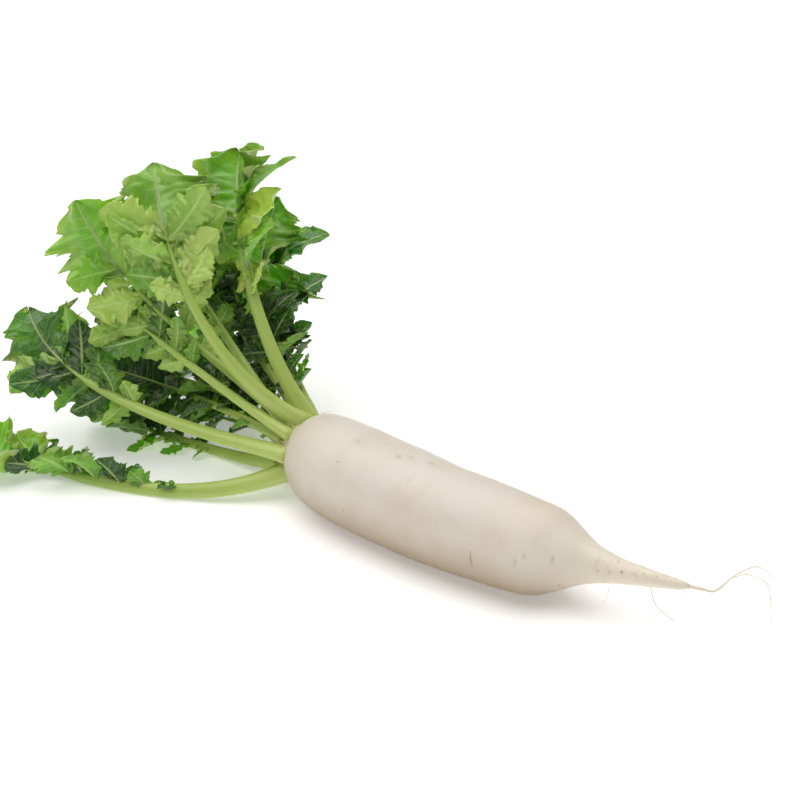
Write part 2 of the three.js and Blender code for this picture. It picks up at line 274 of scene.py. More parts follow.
root = {
    "length": 288.0, "diameter": 68.0, "axisHeight": 33.2, "bow": 60.0, "bowMiddle": 0.35,
    "tailSwing": 15.0, "tailDrop": 5.0, "rings": 380, "sides": 168,
    "outline": [  # share of the length, share of the greatest radius
        [0.012, 0.62], [0.03, 0.76], [0.065, 0.885], [0.12, 0.96], [0.19, 0.99], [0.27, 1.0],
        [0.37, 0.985], [0.47, 0.955], [0.57, 0.915], [0.66, 0.865], [0.71, 0.8], [0.755, 0.6],
        [0.8, 0.385], [0.85, 0.255], [0.9, 0.185], [0.95, 0.128], [0.98, 0.09], [0.995, 0.04], [1.0, 0.012]],
    "rootlets": [  # where each leaves the axis, its radius and its run from there
        [0.965, 2.3, [[0, 0, 0], [10, 5, -0.5], [16, 6, 0], [22, 11, -1], [27, 23, 6], [37, 30, 13], [51, 27, 12]]],
        [0.985, 0.5, [[21, 18, 6], [28, 24, 8], [40, 26, 5], [56, 6, -4]]],
        [0.86, 0.9, [[0, 2, 0], [6, 14, 0], [16, 22, -8], [34, 24, -12]]],
        [0.93, 0.8, [[0, -1, 0], [4, -10, 1], [12, -15, -6], [24, -14, -12]]]],
    # share of the length, degrees round from +Y over the top, length, width, depth, stain
    "marks": [
        [0.601, 181, 0.45, 3.4, 0.55, 1.5], [0.603, 190, 0.5, 2.4, 0.5, 1.6],
        [0.231, 105, 4.5, 2.2, 0.1, 0.5], [0.34, 101, 3.0, 1.6, 0.1, 0.55],
        [0.357, 94, 3.4, 1.6, 0.12, 0.6], [0.416, 90, 4.0, 1.8, 0.12, 0.5],
        [0.836, 164, 0.9, 0.9, 0.15, 0.9], [0.857, 165, 0.8, 1.2, 0.15, 0.8],
        [0.878, 150, 0.8, 1.0, 0.15, 0.9], [0.898, 146, 0.7, 0.9, 0.15, 0.8],
        [0.915, 130, 0.7, 0.8, 0.15, 0.9], [0.938, 124, 0.7, 0.8, 0.15, 0.8],
        [0.70, 172, 1.0, 3.0, 0.2, 0.4], [0.76, 158, 0.8, 2.4, 0.2, 0.5],
        [0.55, 60, 3.0, 5.0, 0.2, 0.5], [0.35, 20, 3.0, 6.0, 0.2, 0.4],
        [0.75, 330, 2.0, 5.0, 0.3, 0.6], [0.5, 300, 3.0, 8.0, 0.2, 0.5]],
    "slits": 80, "slitSeed": 11, "shoulder": [(0.45, 1.8), (0.72, 1.2)], "tailCap": 0.8,
}
skin = {  # tones, how far each reaches in metres, and how strong it is at most
    "bodyTone": (234, 226, 214), "warmTone": (227, 214, 198),
    "crownTone": (219, 209, 190), "crownReach": 0.05, "crownShare": 0.75,
    "tailTone": (252, 243, 224), "tailReach": (0.12, 0.02), "tailShare": 0.85,
    # painted shade: the tone, height and shares below make the root's skin darker and browner towards the bottom,
    # and weaker near the tail
    "paintedShadeTone": (136, 110, 68), "paintedShadeHeight": 0.046, "paintedShadeShare": 0.96,
    "paintedShadeFade": (0.09, 0.03), "paintedShadeAtTail": 0.3,
    "ringTone": (204, 186, 154), "ringScale": (420, 26, 26), "ringShare": 0.16,
    "poreTone": (160, 118, 70), "poreScale": 150.0, "poreShare": 0.42,
    "poreFrom": (0.13, 0.01), "poreRare": (0.965, 0.78),
    "stainTone": (158, 118, 74), "stainShare": 0.8,
}


def rootSkin():
    material, tree, shader, where = newMaterial("rootSkin")
    axes = addNode(tree, "ShaderNodeSeparateXYZ", {0: where})
    x, height = axes.outputs["X"], axes.outputs["Z"]
    start, end = placeX(0), placeX(root["length"])
    beforeEnd = lambda key: [end - back for back in skin[key]]
    c = {key: tone(*value) for key, value in skin.items() if key.endswith("Tone")}
    cloud = ranged(tree, noise(tree, where, 22.0, 4.0, 0.55), 0.35, 0.68)
    colour = blended(tree, cloud, c["bodyTone"], c["warmTone"])
    shoulder = ranged(tree, x, start - 0.002, start + skin["crownReach"], 1.0, 0.0)
    colour = blended(tree, times(tree, shoulder, skin["crownShare"]), colour, c["crownTone"])
    tail = ranged(tree, x, *beforeEnd("tailReach"))
    colour = blended(tree, times(tree, tail, skin["tailShare"]), colour, c["tailTone"])
    # painted shade: darker and browner towards the bottom of the root, less of it near the tail
    paintedShade = ranged(tree, height, 0.0, skin["paintedShadeHeight"], 1.0, 0.0)
    paintedShadeAlong = ranged(tree, x, *beforeEnd("paintedShadeFade"), 1.0, skin["paintedShadeAtTail"])
    colour = blended(tree, times(tree, times(tree, paintedShade, paintedShadeAlong), skin["paintedShadeShare"]), colour, c["paintedShadeTone"])
    bands = addNode(tree, "ShaderNodeMapping", {"Vector": where, "Scale": skin["ringScale"]}).outputs[0]
    band = noise(tree, bands, 1.0, 4.0, 0.6, 0.4)
    colour = blended(tree, ranged(tree, band, 0.56, 0.74, 0.0, skin["ringShare"]), colour, c["ringTone"])
    pores = addNode(tree, "ShaderNodeTexVoronoi", {"Vector": where, "Scale": skin["poreScale"]}, feature="F1")
    chosen = addNode(tree, "ShaderNodeSeparateColor", {0: pores.outputs["Color"]}).outputs[0]
    rare = ranged(tree, x, *beforeEnd("poreFrom"), *skin["poreRare"])
    pore = ranged(tree, pores.outputs["Distance"], 0.08, 0.17, 1.0, 0.0)
    pore = times(tree, pore, maths(tree, "GREATER_THAN", chosen, rare))
    colour = blended(tree, times(tree, pore, skin["poreShare"]), colour, c["poreTone"])
    speckle = ranged(tree, noise(tree, where, 420.0, 4.0, 0.7), 0.36, 0.66)
    worn = times(tree, attribute(tree, "stain"), speckle)
    colour = blended(tree, maths(tree, "MINIMUM", worn, skin["stainShare"]), colour, c["stainTone"])
    rough = ranged(tree, noise(tree, where, 90.0, 3.0), 0.3, 0.7, 0.36, 0.5)
    fine = noise(tree, where, 900.0, 3.0, 0.6)
    relief = maths(tree, "ADD", times(tree, band, 0.55), times(tree, fine, 0.25))
    relief = maths(tree, "SUBTRACT", relief, times(tree, pore, 0.5))
    feed(tree, shader, {
        "Base Color": colour, "Roughness": maths(tree, "ADD", rough, times(tree, worn, 0.25)),
        "Normal": bump(tree, relief, 0.35, 0.0004),
        "Subsurface Weight": 0.35, "Subsurface Radius": (1.0, 0.9, 0.75), "Subsurface Scale": 0.0015,
        "Specular IOR Level": 0.45})
    return material


def crownSkin():
    material, tree, shader, where = newMaterial("crownSkin")
    x = addNode(tree, "ShaderNodeSeparateXYZ", {0: where}).outputs["X"]
    low = placeX(crown["top"])
    streaks = addNode(tree, "ShaderNodeMapping", {"Vector": where, "Scale": (90, 420, 420)}).outputs[0]
    grain = noise(tree, streaks, 1.0, 4.0, 0.6)
    colour = blended(tree, ranged(tree, grain, 0.38, 0.62), tone(*crown["tint"]), tone(*crown["paleTint"]))
    colour = blended(tree, ranged(tree, x, low + 0.006, low + 0.0156), colour, tone(*crown["rimTint"]))
    dry = times(tree, attribute(tree, "dry"), ranged(tree, grain, 0.3, 0.6, 0.5, 1.0))
    colour = blended(tree, dry, colour, tone(*crown["dryTint"]))
    feed(tree, shader, {
        "Base Color": colour, "Normal": bump(tree, grain, 0.6, 0.0008),
        "Roughness": 0.55, "Subsurface Weight": 0.2, "Subsurface Scale": 0.003})
    return material


# lower and inner leaves are painted towards the dark ends of these greens and top leaves towards the pale ends, as
# painted shade and painted light
leafColours = {
    "upperDark": (30, 60, 10), "upper": (120, 174, 44), "upperBright": (206, 236, 100),
    "underDark": (34, 72, 14), "under": (118, 174, 54), "underPale": (190, 230, 108), "vein": (214, 238, 150),
    "stalkBase": (196, 212, 118), "stalk": (178, 200, 98), "stalkTip": (148, 184, 76),
}


def leafSkin():
    material, tree, shader, where = newMaterial("leafSkin")
    c = {key: tone(*value) for key, value in leafColours.items()}
    stalk, upper = attribute(tree, "isStalk"), attribute(tree, "isUpper")
    reach, tintAndShade = attribute(tree, "reach"), attribute(tree, "tintAndShade")
    phase, fromRib = attribute(tree, "veinPhase"), attribute(tree, "fromRib")
    cloud = noise(tree, where, 38.0, 4.0, 0.6)
    # the tint mixes each leaf's random tone and painted light and shade with a noise cloud
    tint = maths(tree, "ADD", times(tree, tintAndShade, 0.55), times(tree, cloud, 0.6))
    top = blended(tree, ranged(tree, tint, 0.15, 0.55), c["upperDark"], c["upper"])
    top = blended(tree, ranged(tree, tint, 0.55, 0.95), top, c["upperBright"])
    below = blended(tree, ranged(tree, tint, 0.02, 0.35), c["underDark"], c["under"])
    below = blended(tree, ranged(tree, tint, 0.35, 0.85), below, c["underPale"])
    blade = blended(tree, upper, below, top)
    # side veins where the phase passes a whole number, and the midrib where fromRib is near nought
    wave = maths(tree, "ABSOLUTE", maths(tree, "SUBTRACT", maths(tree, "FRACT", phase), 0.5))
    side = ranged(tree, maths(tree, "ADD", wave, times(tree, fromRib, -0.03)), 0.425, 0.49)
    rib = ranged(tree, fromRib, 0.03, 0.11, 1.0, 0.0)
    net = addNode(tree, "ShaderNodeTexVoronoi", {"Vector": where, "Scale": 330.0}, feature="DISTANCE_TO_EDGE")
    mesh = ranged(tree, net.outputs["Distance"], 0.0, 0.09, 1.0, 0.0)
    veins = maths(tree, "MAXIMUM", times(tree, side, 0.8), rib)
    veins = maths(tree, "MAXIMUM", veins, times(tree, mesh, 0.16))
    blade = blended(tree, times(tree, veins, 0.5), blade, c["vein"])
    stem = blended(tree, ranged(tree, reach, 0.0, 0.3), c["stalkBase"], c["stalk"])
    stem = blended(tree, ranged(tree, reach, 0.35, 0.85), stem, c["stalkTip"])
    stripes = noise(tree, where, 160.0, 3.0, 0.6)
    stem = blended(tree, ranged(tree, stripes, 0.45, 0.75, 0.0, 0.10), stem, c["upper"])
    stem = blended(tree, ranged(tree, reach, 0.7, 0.82, 0.0, 0.6), stem, c["vein"])
    rough = ranged(tree, noise(tree, where, 120.0, 3.0), 0.3, 0.7, 0.3, 0.5)
    blisters = times(tree, noise(tree, where, 330.0, 3.0), maths(tree, "SUBTRACT", 1.0, stalk))
    height = maths(tree, "SUBTRACT", times(tree, stripes, 0.35), times(tree, veins, 0.6))
    feed(tree, shader, {
        "Base Color": blended(tree, stalk, blade, stem), "Roughness": rough,
        "Normal": bump(tree, maths(tree, "ADD", height, blisters), 0.7, 0.0006),
        "Subsurface Weight": 0.5, "Subsurface Radius": (0.5, 1.0, 0.2), "Subsurface Scale": 0.003,
        "Specular IOR Level": 0.7})
    return material


rootMaterial, crownMaterial, leafMaterial = rootSkin(), crownSkin(), leafSkin()
print("materials made")


def rootAxis(t):
    t = np.asarray(t, float)
    tail = np.maximum(0, (t - 0.6) / 0.4) ** 2
    bow = root["bow"] * ((t - root["bowMiddle"]) ** 2 - root["bowMiddle"] ** 2)
    return np.stack([t * root["length"], bow + root["tailSwing"] * tail,
                     root["axisHeight"] - root["tailDrop"] * tail], -1)


def rootSurface():
    sides = root["sides"]
    t = mixed(root["outline"][0][0], 1.0, np.linspace(0, 1, root["rings"]))
    share = np.array([alongList(root["outline"], value) for value in t])
    tGrid, angle = np.meshgrid(t, np.arange(sides) * math.tau / sides, indexing="ij")
    swell = 1 + 0.012 * np.sin(9 * tGrid + 2 * angle) + 0.01 * np.sin(23 * tGrid + angle)
    radius = root["diameter"] / 2 * share[:, None] * swell
    x = tGrid * root["length"]
    turns = angle / math.tau
    # fine rings round the skin, broken along their length, and slow dents
    thin = np.clip(share[:, None], 0.2, 1)
    radius += 0.10 * thin * smoothNoise(x / 2.3, turns * 14 + 0.02 * x, 3, 14)
    radius += 0.07 * thin * smoothNoise(x / 1.1 + 40, turns * 22, 4, 22)
    radius += 0.35 * thin * smoothNoise(x / 26, turns * 6, 5, 6)
    stain = np.zeros_like(radius)
    chance = np.random.default_rng(root["slitSeed"])
    slits = []
    for _ in range(root["slits"]):
        along = chance.uniform(0.05, 0.97)
        slits.append([along, chance.uniform(0, 360), chance.uniform(0.5, 1.1), chance.uniform(1.2, 4.2),
                      chance.uniform(0.04, 0.16), chance.uniform(0.0, 0.28) * (2.0 if along > 0.66 else 1)])
    for along, degrees, length, width, depth, dark in root["marks"] + slits:
        off = (angle - math.radians(degrees) + math.pi) % math.tau - math.pi
        near = np.exp(-((x - along * root["length"]) / length) ** 2 - (off * radius / width) ** 2)
        radius -= depth * near
        stain = np.maximum(stain, dark * near)
    middle = rootAxis(t)
    points = np.stack([np.broadcast_to(middle[:, None, 0], x.shape),
                       middle[:, None, 1] + radius * np.cos(angle),
                       middle[:, None, 2] + radius * np.sin(angle)], -1)
    points[..., 2] = np.maximum(points[..., 2], 0)
    # the shoulder closes round the crown, and the tail ends in a small cap
    inner = [middle[0] + (points[0] - middle[0]) * size + (deep, 0, 0) for size, deep in root["shoulder"]]
    flat, faces = closedRings(inner + list(points), root["tailCap"])
    return flat, faces, np.concatenate([np.zeros(len(inner) * sides), stain.ravel(), [0, 0]])


def openTree(name, sizes):  # a tree with a mesh, the named sizes and a material as its inputs
    group = bpy.data.node_groups.new(name, "GeometryNodeTree")
    sockets = group.interface
    sockets.new_socket("Geometry", in_out="INPUT", socket_type="NodeSocketGeometry")
    for key, value in sizes.items():
        kind = "NodeSocketInt" if isinstance(value, int) else "NodeSocketFloat"
        sockets.new_socket(key, in_out="INPUT", socket_type=kind).default_value = value
    sockets.new_socket("Material", in_out="INPUT", socket_type="NodeSocketMaterial")
    sockets.new_socket("Geometry", in_out="OUTPUT", socket_type="NodeSocketGeometry")
    return group, group.nodes.new("NodeGroupInput").outputs


def closeTree(group, body, material):
    body = addNode(group, "GeometryNodeRealizeInstances", {"Geometry": body}).outputs["Geometry"]
    body = addNode(group, "GeometryNodeSetMaterial", {"Geometry": body, "Material": material})
    group.links.new(body.outputs["Geometry"], group.nodes.new("NodeGroupOutput").inputs["Geometry"])
    return group


# A path swept into a tapering stalk: the path is a chain of points that carry their own
# half width and the way their upper face looks
def sweepTree():
    group, given = openTree("sweptStalk", {
        "Sides": 24, "Thickness": 0.78, "Groove": 0.2, "Rib Depth": 0.03, "Ribs": 11.0})
    path = addNode(group, "GeometryNodeMeshToCurve", {"Mesh": given["Geometry"]}).outputs["Curve"]
    looks = addNode(group, "GeometryNodeInputNamedAttribute", {"Name": "facing"}, data_type="FLOAT_VECTOR")
    path = addNode(group, "GeometryNodeSetCurveNormal", {"Curve": path}, mode="FREE")
    group.links.new(looks.outputs["Attribute"], path.inputs["Normal"])
    girth = addNode(group, "GeometryNodeInputNamedAttribute", {"Name": "girth"}, data_type="FLOAT")
    path = path.outputs["Curve"]
    ring = addNode(group, "GeometryNodeCurvePrimitiveCircle", {"Resolution": given["Sides"], "Radius": 1.0})
    turn = times(group, group.nodes.new("GeometryNodeSplineParameter").outputs["Factor"], math.tau)
    spot = addNode(group, "ShaderNodeSeparateXYZ", {0: group.nodes.new("GeometryNodeInputPosition").outputs[0]})
    ribs = maths(group, "SINE", times(group, turn, given["Ribs"]))
    near = maths(group, "MAXIMUM", spot.outputs["Y"], 0.0)
    groove = times(group, maths(group, "POWER", near, 6.0), given["Groove"])
    size = maths(group, "ADD", 1.0, times(group, ribs, given["Rib Depth"]))
    size = maths(group, "SUBTRACT", size, groove)
    across = times(group, spot.outputs["X"], size)
    high = times(group, times(group, spot.outputs["Y"], size), given["Thickness"])
    shaped = addNode(group, "ShaderNodeCombineXYZ", {"X": across, "Y": high}).outputs[0]
    ring = addNode(group, "GeometryNodeSetPosition", {"Geometry": ring.outputs["Curve"], "Position": shaped})
    body = addNode(group, "GeometryNodeCurveToMesh", {
        "Curve": path, "Profile Curve": ring.outputs["Geometry"], "Scale": girth.outputs["Attribute"],
        "Fill Caps": True}).outputs["Mesh"]
    return closeTree(group, body, given["Material"])


def evaluated(holder, group, inputs):  # runs a tree on a holder object and returns the plain mesh
    modifier = holder.modifiers.new("grown", "NODES")
    modifier.node_group = group
    sockets = {item.name: item.identifier for item in group.interface.items_tree if item.in_out == "INPUT"}
    for name, value in inputs.items():
        modifier[sockets[name]] = value
    mesh = bpy.data.meshes.new_from_object(holder.evaluated_get(bpy.context.evaluated_depsgraph_get()))
    holder.modifiers.remove(modifier)
    old = holder.data
    bpy.data.objects.remove(holder)
    bpy.data.meshes.remove(old)
    return mesh


stalkTree = sweepTree()


def sweep(path, girth, facing, shape, material, reach):
    inputs = dict(zip(("Sides", "Thickness", "Groove", "Rib Depth", "Ribs"), shape))
    chain = bpy.data.meshes.new("path")
    chain.from_pydata(place(path).tolist(), [(i, i + 1) for i in range(len(path) - 1)], [])
    carry(chain, "girth", np.asarray(girth, np.float32) * 0.001)
    carry(chain, "facing", facing, "FLOAT_VECTOR", "vector")
    carry(chain, "reach", reach)
    mesh = evaluated(addObject("path", chain), stalkTree, {**inputs, "Material": material})
    points = np.zeros(len(mesh.vertices) * 3)
    mesh.vertices.foreach_get("co", points)
    faces = [tuple(f.vertices) for f in mesh.polygons]
    carried = np.zeros(len(mesh.vertices))
    mesh.attributes["reach"].data.foreach_get("value", carried)
    bpy.data.meshes.remove(mesh)
    points = points.reshape(-1, 3)
    return points, turnedOut(points, faces), carried


def joined(parts):  # parts: (points, faces, {attribute: values})
    points, faces, values = [], [], {}
    first = 0
    for spots, cells, carried in parts:
        points.append(spots)
        faces.extend(tuple(i + first for i in f) for f in cells)
        for key, value in carried.items():
            values.setdefault(key, []).append(value)
        first += len(spots)
    return np.concatenate(points), faces, {key: np.concatenate(value) for key, value in values.items()}


def smoothPath(run, steps):  # a smooth curve through a few points
    run = np.asarray(run, float)
    chords = np.sqrt(np.linalg.norm(np.diff(run, axis=0), axis=1))
    knots = np.concatenate([[0], np.cumsum(chords)])
    knots /= knots[-1]
    return np.stack([[alongList(list(zip(knots, run[:, k])), s) for k in range(3)]
                     for s in np.linspace(0, 1, steps)])


def buildRoot():
    points, faces, stain = rootSurface()
    parts = [(place(points), faces, {"stain": stain})]
    for start, radius, run in root["rootlets"]:
        path = rootAxis(start) + smoothPath(run, 40)
        s = np.linspace(0, 1, 40)
        girth = mixed(radius, 0.3, s**0.36) * (1 + 0.10 * np.sin(23 * s + 9 * start))
        facing = np.tile((0.0, 0.1, 1.0), (40, 1))
        knots, cells, _ = sweep(path, girth, facing, (12, 1.0, 0.0, 0.04, 3.0), rootMaterial, s)
        parts.append((knots, cells, {"stain": np.full(len(knots), 0.12)}))
    points, faces, values = joined(parts)
    return makeMesh("rootBody", points, faces, rootMaterial, values)


rootBody = buildRoot()
print("root built", len(rootBody.data.polygons))


# A curved, tapering hair on every point scattered over a surface
def hairTree():
    group, given = openTree("scatteredHairs", {
        "Density": 1000.0, "Spacing": 0.004, "Length": 0.01, "Thickness": 0.0002, "Curl": 0.5, "Seed": 0})
    scattered = addNode(group, "GeometryNodeDistributePointsOnFaces", {
        "Mesh": given["Geometry"], "Distance Min": given["Spacing"], "Density Max": given["Density"],
        "Seed": given["Seed"]}, distribute_method="POISSON")
    hair = addNode(group, "GeometryNodeCurvePrimitiveLine", {"End": (0, 0, 1)}).outputs["Curve"]
    hair = addNode(group, "GeometryNodeResampleCurve", {"Curve": hair, "Count": 12}).outputs["Curve"]
    part = group.nodes.new("GeometryNodeSplineParameter").outputs["Factor"]
    bend = times(group, maths(group, "POWER", part, 2.0), given["Curl"])
    sway = times(group, maths(group, "SINE", times(group, part, 7.0)), 0.07)
    offset = addNode(group, "ShaderNodeCombineXYZ", {"X": bend, "Y": sway}).outputs[0]
    hair = addNode(group, "GeometryNodeSetPosition", {"Geometry": hair, "Offset": offset}).outputs["Geometry"]
    taper = ranged(group, part, 0.0, 1.0, 1.0, 0.25)
    relative = maths(group, "DIVIDE", given["Thickness"], given["Length"])
    ring = addNode(group, "GeometryNodeCurvePrimitiveCircle", {"Resolution": 5, "Radius": relative}).outputs["Curve"]
    hair = addNode(group, "GeometryNodeCurveToMesh", {
        "Curve": hair, "Profile Curve": ring, "Scale": taper, "Fill Caps": True}).outputs["Mesh"]
    lean = addNode(group, "FunctionNodeRandomValue", {
        "Min": (-0.6, -0.6, 0.0), "Max": (0.6, 0.6, 6.28), "Seed": given["Seed"]}, data_type="FLOAT_VECTOR")
    spin = addNode(group, "FunctionNodeEulerToRotation", {0: lean.outputs[0]}).outputs[0]
    spin = addNode(group, "FunctionNodeRotateRotation", {
        "Rotation": scattered.outputs["Rotation"], "Rotate By": spin}, rotation_space="LOCAL").outputs[0]
    size = addNode(group, "FunctionNodeRandomValue", {2: 0.45, 3: 1.1, "Seed": given["Seed"]}, data_type="FLOAT")
    size = times(group, size.outputs[1], given["Length"])
    grown = addNode(group, "GeometryNodeInstanceOnPoints", {
        "Points": scattered.outputs["Points"], "Instance": hair, "Rotation": spin}).outputs["Instances"]
    grown = addNode(group, "GeometryNodeScaleInstances", {"Instances": grown, "Scale": size}).outputs[0]
    return closeTree(group, grown, given["Material"])


def patchOf(piece, low, high):  # a copy of a piece's faces between two places along the root
    source, low, high = piece.data, placeX(low), placeX(high)
    faces = [tuple(f.vertices) for f in source.polygons if low < f.center.x < high]
    used = sorted({i for f in faces for i in f})
    order = {v: n for n, v in enumerate(used)}
    mesh = bpy.data.meshes.new("patch")
    mesh.from_pydata([source.vertices[i].co[:] for i in used], [], [tuple(order[i] for i in f) for f in faces])
    return addObject("patch", mesh)


def growHairs(name, patch, sizes, material):
    mesh = evaluated(patch, scatter, {**sizes, "Material": material})
    mesh.polygons.foreach_set("use_smooth", [True] * len(mesh.polygons))
    print(name, "grown", len(mesh.polygons))
    return addObject(name, mesh)


hairs = {"Density": 9000.0, "Spacing": 0.006, "Length": 0.016, "Thickness": 0.00016, "Curl": 0.7, "Seed": 4}
scatter = hairTree()
tailHairs = growHairs("tailHairs", patchOf(rootBody, 230, 285), hairs, rootMaterial)


def crownSurface():
    count, sides = crown["rings"], crown["sides"]
    turn = np.arange(sides) * math.tau / sides
    rings = []
    for j in range(count):
        angle = math.pi / 2 * j / (count - 1)
        x = mixed(crown["seat"], crown["top"], math.sin(angle) ** 1.2)
        r = crown["radius"] * max(0.12, math.cos(angle) ** 0.45)
        ribs = np.abs(np.sin(turn * crown["ribs"] / 2 + 0.6)) ** 0.6
        fine = smoothNoise(np.full(sides, j / 7.0), turn / math.tau * 40, 8, 40)
        r = r * (1 - crown["ribDepth"] * (1 - ribs) + 0.02 * fine)
        rings.append(np.stack([np.full(sides, x), r * np.cos(turn), root["axisHeight"] + r * np.sin(turn)], -1))
    return closedRings(rings)


def stubParts():  # the dried feet of leaves that have dropped, round the living stalks
    parts = []
    s = np.linspace(0, 1, 18)
    for number, degrees in enumerate(crown["stubs"]):
        angle = math.radians(degrees)
        out = np.array([0, math.cos(angle), math.sin(angle)])
        side = np.array([0, -math.sin(angle), math.cos(angle)])
        length = crown["stubLength"] * (1 + 0.35 * draw(number, 3))
        flare = 4.0 + 2.0 * draw(number, 4)
        path = np.array([1.5, 0, root["axisHeight"]]) + out * crown["stubFrom"] + np.outer(s, (-length, 0, 0))
        path = path + np.outer(flare * s**1.6, out) + np.outer(2.2 * draw(number, 5) * s * s, side)
        girth = crown["stubWidth"] / 2 * (1 - 0.5 * s**1.5) * (1 + 0.08 * np.sin(17 * s + number))
        facing = np.tile(out, (18, 1))
        points, faces, dry = sweep(path, girth, facing, (20, 0.55, 0.2, 0.08, 5.0), crownMaterial, s)
        parts.append((points, faces, {"dry": np.clip((dry - 0.45) / 0.5, 0, 1)}))
    return parts


points, faces = crownSurface()
points, faces, values = joined([(place(points), faces, {"dry": np.zeros(len(points))})] + stubParts())
crownBody = makeMesh("crownBody", points, faces, crownMaterial, values)
print("crown built", len(crownBody.data.polygons))
rim = patchOf(crownBody, crown["fibresFrom"], crown["fibresTo"])
crownFibres = growHairs("crownFibres", rim, crown["fibres"], crownMaterial)


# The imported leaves' own curves and sizes: four points, the upper face at both ends, pairs of
# leaflets, a leaflet's length, the end lobe's half width, the stalk's width, where leaflets begin
leaves = {
    "leaf_floor_near": [[[-2, -14, 21], [-48, -79, -8], [-142, -94, 8], [-203, -136, 12]],
                        [[0, 0.7, 0.7], [0, 0.1, 1]], 6, 42, 32, 12, 0.32],
    "leaf_side_near": [[[-3, -16, 34], [-71, -53, 44], [-159, -85, 58], [-214, -56, 90]],
                       [[0, 1, 0], [-0.6, 0.67, -0.2]], 5, 40, 30, 12, 0.45],
    "leaf_top_near": [[[-5, -11, 46], [-53, -28, 71], [-112, -42, 101], [-166, -26, 107]],
                      [[0, 0.7, -0.7], [-0.6, 0.67, -0.44]], 4, 34, 28, 9.5, 0.45],
    "leaf_top": [[[-4, 1, 51], [-54, -36, 88], [-96, -36, 158], [-137, 2, 200]],
                 [[0, 0, -1], [-0.6, 0.67, -0.3]], 5, 46, 36, 12, 0.5],
    "leaf_top_far": [[[-4, 13, 44], [-40, -4, 99], [-94, 28, 156], [-122, 66, 196]],
                     [[0, -0.6, -0.75], [0.1, -0.9, 0.3]], 4, 44, 36, 11, 0.42],
    "leaf_side_far": [[[-4, 16, 33], [-73, 48, 33], [-157, 90, 76], [-142, 122, 143]],
                      [[0, -1, 0], [0.3, -0.9, 0.2]], 4, 42, 34, 11, 0.42],
    "leaf_floor_far": [[[-4, 12, 22], [-88, 35, -7], [-187, 90, 10], [-253, 105, 12]],
                       [[0, -0.8, 0.6], [0, -0.1, 1]], 4, 42, 34, 10, 0.4],
    "leaf_floor_back": [[[-5, 0, 18], [-66, -4, -1], [-138, -8, 3], [-186, -32, 10]],
                        [[0, 0, 1], [0, 0, 1]], 4, 34, 28, 10, 0.42],
    "leaf_heart": [[[-11, 1, 36], [-53, 2, 72], [-137, 22, 112], [-190, 40, 146]],
                   [[0, 0.4, 1], [0.4, -0.5, 0.6]], 4, 38, 34, 9, 0.45],
    "leaf_mid_far": [[[-7, 11, 42], [-68, 28, 70], [-127, 50, 95], [-143, 66, 150]],
                     [[0, -0.8, 0.3], [0.5, -0.6, 0.3]], 4, 40, 32, 9, 0.25],
    "leaf_low_mid": [[[-7, 5, 27], [-64, -2, 40], [-128, 2, 36], [-172, -22, 46]],
                     [[0, -0.3, 1], [0.2, -0.4, 0.9]], 3, 32, 26, 8, 0.25],
    "leaf_right_far": [[[-3, 18, 42], [-39, 35, 55], [-108, 66, 75], [-88, 82, 112]],
                       [[0, -1, 0.4], [0.4, -0.6, 0.6]], 4, 34, 26, 8, 0.25],
    "leaf_top_left": [[[-7, -3, 47], [-64, -10, 80], [-141, -31, 109], [-170, -42, 178]],
                      [[0, 0.3, -1], [-0.6, 0.6, -0.2]], 4, 38, 32, 9, 0.35],
}
blade = {
    "lobeFrom": 0.72, "ribTip": 0.9, "flat": 0.78, "stalkClear": 0.6, "stalkTaper": 0.52, "bladeClear": 1.1,
    "width": 0.36, "forward": 32.0, "roll": 14.0, "twist": 38.0, "droop": 0.3, "cup": 0.2,
    "lobeCup": 0.25, "lobeWave": 0.2, "thick": 0.55, "edge": 0.3,
    "bigTooth": 0.52, "smallTooth": 0.16, "ripple": 0.36, "quilt": 0.45, "ribHigh": 0.7,
    "crumple": 0.2, "fold": 0.34, "turning": 24.0, "sweep": 0.22, "smallSize": 0.45,
    "leafletTeeth": (3.1, 9.5), "lobeTeeth": (4.4, 14.5),  # large and small ones to an edge
    "lobeRib": 2.4,  # a narrower midrib than the leaflets' own
    "leafletShape": [[0, 0.1], [0.12, 0.42], [0.26, 0.76], [0.45, 0.94], [0.64, 0.92], [0.8, 0.70],
                     [0.9, 0.46], [0.96, 0.24], [1, 0.02]],
    "lobeShape": [[0, 0.1], [0.14, 0.62], [0.3, 0.88], [0.45, 1.0], [0.6, 0.95], [0.75, 0.78],
                  [0.88, 0.52], [0.96, 0.26], [1, 0.02]],
}


leafHabit = {  # leaflets' size, how steeply they stand and their width
    "usual": (1.0, 14.0, 1.0), "young": (1.0, 18.0, 1.0), "leaf_floor_near": (0.78, 44.0, 1.2),
}
leafToneAndShade = {  # how light each leaf's green is, 0 where it isn't named: partly the leaf's own tone, partly painted light and shade, with top leaves lighter and lower and inner leaves darker
    "young": -1.0, "leaf_floor_near": -0.55, "leaf_side_near": -0.55, "leaf_top_near": -0.5, "leaf_low_mid": -0.85,
    "leaf_floor_back": -0.6, "leaf_floor_far": -0.6, "leaf_side_far": -0.4, "leaf_mid_far": -0.3, "leaf_top": 0.3,
    "leaf_top_left": 0.3, "leaf_top_far": 0.3, "leaf_heart": -0.1, "leaf_right_far": -0.3,
}


